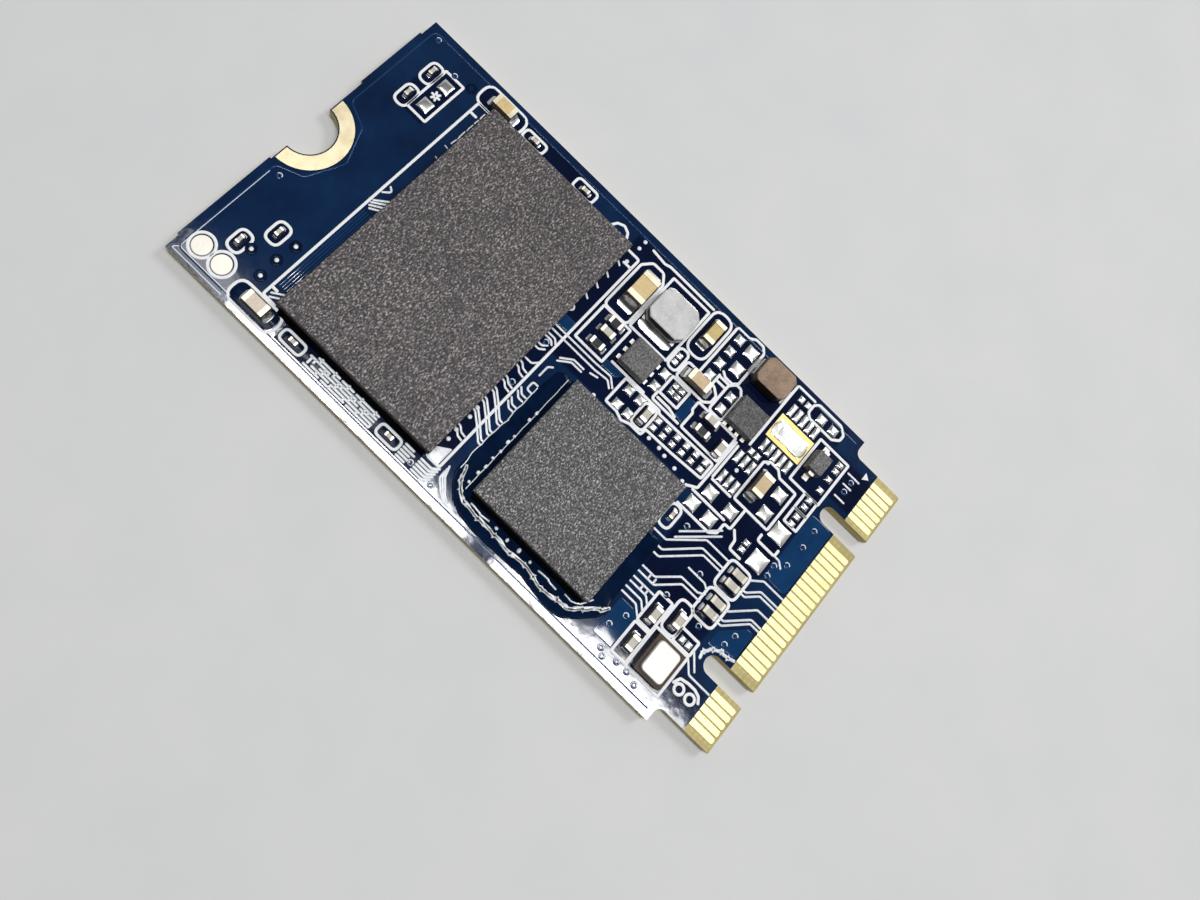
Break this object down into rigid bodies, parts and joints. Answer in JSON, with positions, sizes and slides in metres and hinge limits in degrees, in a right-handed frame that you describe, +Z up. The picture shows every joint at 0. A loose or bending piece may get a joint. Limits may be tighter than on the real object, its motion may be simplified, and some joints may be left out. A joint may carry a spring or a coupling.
{
  "type": "m.2 solid state drive module",
  "caption": "Thin blue circuit board with a keyed gold card edge, a half-round screw notch, two large memory and controller packages and a field of small power parts.",
  "frame": {"origin": "middle of the board's underside, level with the surface that it lies on", "axes": "+X across the board towards contact 1, +Y from the card edge to the screw notch, +Z up from the board"},
  "size_m": [0.022, 0.0421, 0.0019],
  "materials": {
    "blue_mask_board": "glossy deep blue solder mask over laminate",
    "gold_plate": "bright thin gold plating",
    "mould_compound": "grainy dark grey epoxy moulding",
    "small_mould": "fine dark grey epoxy moulding",
    "solder": "bright reflowed solder",
    "tin_plate": "satin tin plating",
    "grey_ferrite": "pale grey ground ferrite",
    "winding_resin": "dark resin over copper wire",
    "brown_composite": "brown pressed metal powder",
    "brown_ceramic": "dark brown fired ceramic",
    "lid_metal": "bright plated lid",
    "tan_ceramic": "tan fired ceramic",
    "resistor_coat": "black glass coat on white alumina",
    "white_print": "white legend ink",
    "underfill_resin": "dark clear resin that has run out from under a package"
  },
  "bodies": {
    "root": {"bare_solder_lands": "solder", "circuit_board": "blue_mask_board", "controller_package": "mould_compound", "controller_solder_balls": "solder", "core_capacitor_body": "tan_ceramic", "core_capacitor_ends": "tin_plate", "coupling_capacitor_a_body": "tan_ceramic", "coupling_capacitor_a_ends": "tin_plate", "coupling_capacitor_b_body": "tan_ceramic", "coupling_capacitor_b_ends": "tin_plate", "coupling_capacitor_c_body": "tan_ceramic", "coupling_capacitor_c_ends": "tin_plate", "coupling_capacitor_d_body": "tan_ceramic", "coupling_capacitor_d_ends": "tin_plate", "crystal_base": "brown_ceramic", "crystal_lid": "lid_metal", "diode_body": "small_mould", "diode_leads": "tin_plate", "edge_contacts_bottom": "gold_plate", "edge_contacts_top": "gold_plate", "feedback_resistor_a_body": "resistor_coat", "feedback_resistor_a_ends": "tin_plate", "feedback_resistor_b_body": "resistor_coat", "feedback_resistor_b_ends": "tin_plate", "filter_inductor_body": "brown_composite", "filter_inductor_terminals": "tin_plate", "flash_capacitor_left_body": "tan_ceramic", "flash_capacitor_left_ends": "tin_plate", "flash_capacitor_right_body": "tan_ceramic", "flash_capacitor_right_ends": "tin_plate", "flash_package": "mould_compound", "flash_solder_balls": "solder", "input_capacitor_body": "tan_ceramic", "input_capacitor_ends": "tin_plate", "output_capacitor_body": "tan_ceramic", "output_capacitor_ends": "tin_plate", "power_inductor_core": "grey_ferrite", "power_inductor_terminals": "tin_plate", "power_inductor_winding": "winding_resin", "pullup_resistor_body": "resistor_coat", "pullup_resistor_ends": "tin_plate", "rail_capacitor_body": "tan_ceramic", "rail_capacitor_ends": "tin_plate", "regulator_a_body": "small_mould", "regulator_a_leads": "tin_plate", "regulator_b_body": "small_mould", "regulator_b_leads": "tin_plate", "screw_ring_bottom": "gold_plate", "screw_ring_top": "gold_plate", "small_capacitor_body": "tan_ceramic", "small_capacitor_ends": "tin_plate", "solder_fillets": "solder", "test_pads": "gold_plate", "thermal_land": "gold_plate", "tiny_capacitor_body": "tan_ceramic", "tiny_capacitor_ends": "tin_plate"}
  },
  "joints": []
}
